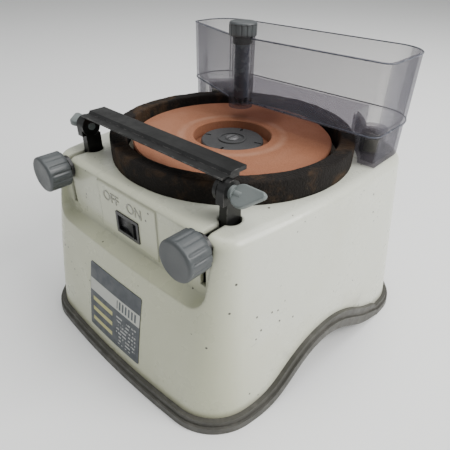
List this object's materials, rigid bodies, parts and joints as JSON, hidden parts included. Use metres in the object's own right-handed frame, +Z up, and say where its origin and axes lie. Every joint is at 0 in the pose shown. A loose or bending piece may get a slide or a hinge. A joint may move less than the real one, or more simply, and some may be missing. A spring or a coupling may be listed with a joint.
{
  "type": "wet grinding sharpener",
  "caption": "Bench sharpener with a horizontal water-cooled stone, drip tank, adjustable tool rest and a flared moulded housing.",
  "frame": {"origin": "on the table under the stone spindle axis, which is also the centre of the footprint", "axes": "+Z up along the stone's spindle, +X to the operator's right along the tool rest, +Y away from the operator towards the tank"},
  "size_m": [0.2984, 0.321, 0.2675],
  "materials": {
    "housing_enamel": "off-white gloss, lightly scuffed",
    "trim_rubber": "dark grey-brown, satin",
    "ring_foam": "dark brown-black, matt and stained",
    "stone": "terracotta abrasive",
    "black_satin": "black satin paint",
    "grey_plastic": "mid grey moulded",
    "light_plastic": "light grey moulded",
    "smoke_clear": "smoky transparent plastic",
    "stem_plastic": "dark blue-grey",
    "disc_metal": "dark cast",
    "steel": "machined",
    "aluminium": "die cast",
    "tray_paint": "dark grey sheet",
    "lamination": "laminated core",
    "copper_coil": "enamelled winding wire",
    "black_plastic": "black moulded",
    "cord_rubber": "black flexible",
    "hose_rubber": "dark grey flexible",
    "belt_rubber": "black belt",
    "white_plastic": "white moulded",
    "label_sheet": "printed slate sheet",
    "brass": "plated"
  },
  "bodies": {
    "root": {"housing_shell": "housing_enamel", "rubber_trim": "trim_rubber", "base_tray": "tray_paint", "housing_screws": "steel", "front_label": "label_sheet", "splash_ring": "ring_foam", "bearing_housing": "aluminium", "spindle_bearing_lower": "steel", "spindle_bearing_upper": "steel", "shaft_seal": "belt_rubber", "bearing_screws": "steel", "drive_belt": "belt_rubber", "stator_core": "lamination", "stator_windings": "copper_coil", "motor_bottom_bell": "aluminium", "motor_top_bell": "aluminium", "motor_bearings": "steel", "motor_bolts": "steel", "motor_mounts": "belt_rubber", "mount_screws": "steel", "run_capacitor": "aluminium", "capacitor_clip": "steel", "terminal_block": "white_plastic", "terminal_screws": "brass", "switch_body": "black_plastic", "drain_hose": "hose_rubber", "cord_grommet": "cord_rubber", "power_cord": "cord_rubber", "power_plug": "cord_rubber", "wiring": "copper_coil"},
    "spindle": {"spindle_shaft": "steel", "drive_flange": "aluminium", "grinding_stone": "stone", "stone_bush": "white_plastic", "stone_clamp_disc": "disc_metal", "spindle_pulley": "aluminium", "pulley_nut": "steel"},
    "rotor": {"motor_shaft": "steel", "rotor_core": "lamination", "rotor_fan": "black_plastic", "motor_pulley": "steel"},
    "rest_carriage": {"rest_bracket_left": "black_satin", "rest_bracket_right": "black_satin"},
    "rest_bar": {"tool_rest_bar": "black_satin"},
    "wing_left": {"wing_screw_left": "light_plastic"},
    "wing_right": {"wing_screw_right": "light_plastic"},
    "washer_left": {"clamp_washer_left": "black_plastic"},
    "washer_right": {"clamp_washer_right": "black_plastic"},
    "knob_left": {"clamp_knob_left": "grey_plastic", "clamp_stud_left": "steel"},
    "knob_right": {"clamp_knob_right": "grey_plastic", "clamp_stud_right": "steel"},
    "rocker": {"switch_rocker": "black_plastic"},
    "tank": {"water_tank": "smoke_clear", "valve_bushing": "black_plastic"},
    "valve_handle": {"valve_knob": "grey_plastic"},
    "valve_needle": {"valve_stem": "stem_plastic", "valve_tip": "belt_rubber"}
  },
  "joints": [
    {"name": "stone_spin", "type": "hinge", "parent": "root", "child": "spindle", "pos_m": [0, 0, 0.15], "axis": [0, 0, 1], "continuous": true},
    {"name": "rotor_spin", "type": "hinge", "parent": "root", "child": "rotor", "pos_m": [-0.058, 0.054, 0.05], "axis": [0, 0, 1], "continuous": true},
    {"name": "rest_height", "type": "slide", "parent": "root", "child": "rest_carriage", "axis": [0, 0, 1], "range_m": [-0.006, 0.008]},
    {"name": "rest_tilt", "type": "hinge", "parent": "rest_carriage", "child": "rest_bar", "pos_m": [0, -0.097, 0.1915], "axis": [1, 0, 0], "range_deg": [-15, 20]},
    {"name": "wing_turn_left", "type": "hinge", "parent": "rest_carriage", "child": "wing_left", "pos_m": [-0.084, -0.097, 0.1915], "axis": [-1, 0, 0], "range_deg": [0, 180]},
    {"name": "washer_slide_left", "type": "slide", "parent": "rest_carriage", "child": "washer_left", "axis": [0, -1, 0], "range_m": [0, 0.00165]},
    {"name": "knob_turn_left", "type": "hinge", "parent": "washer_left", "child": "knob_left", "pos_m": [-0.084, -0.13, 0.1595], "axis": [0, -1, 0], "range_deg": [0, 720]},
    {"name": "wing_turn_right", "type": "hinge", "parent": "rest_carriage", "child": "wing_right", "pos_m": [0.084, -0.097, 0.1915], "axis": [1, 0, 0], "range_deg": [0, 180]},
    {"name": "washer_slide_right", "type": "slide", "parent": "rest_carriage", "child": "washer_right", "axis": [0, -1, 0], "range_m": [0, 0.00165]},
    {"name": "knob_turn_right", "type": "hinge", "parent": "washer_right", "child": "knob_right", "pos_m": [0.084, -0.13, 0.1595], "axis": [0, -1, 0], "range_deg": [0, 720]},
    {"name": "switch_rock", "type": "hinge", "parent": "root", "child": "rocker", "pos_m": [-0.0005, -0.1145, 0.1345], "axis": [0, 0, 1], "range_deg": [0, 18]},
    {"name": "tank_lift", "type": "slide", "parent": "root", "child": "tank", "axis": [0, 0, 1], "range_m": [0, 0.08]},
    {"name": "valve_turn", "type": "hinge", "parent": "tank", "child": "valve_handle", "pos_m": [-0.026, 0.04, 0.26], "axis": [0, 0, 1], "range_deg": [0, 720]},
    {"name": "needle_lift", "type": "slide", "parent": "tank", "child": "valve_needle", "axis": [0, 0, 1], "range_m": [0, 0.0031]}
  ],
  "couplings": [
    {"joint": "rotor_spin", "follows": "stone_spin", "ratio": 5.1026},
    {"joint": "washer_slide_left", "follows": "knob_turn_left", "m_per_rad": 0.00012732},
    {"joint": "washer_slide_right", "follows": "knob_turn_right", "m_per_rad": 0.00012732},
    {"joint": "needle_lift", "follows": "valve_turn", "m_per_rad": 0.00023873}
  ]
}
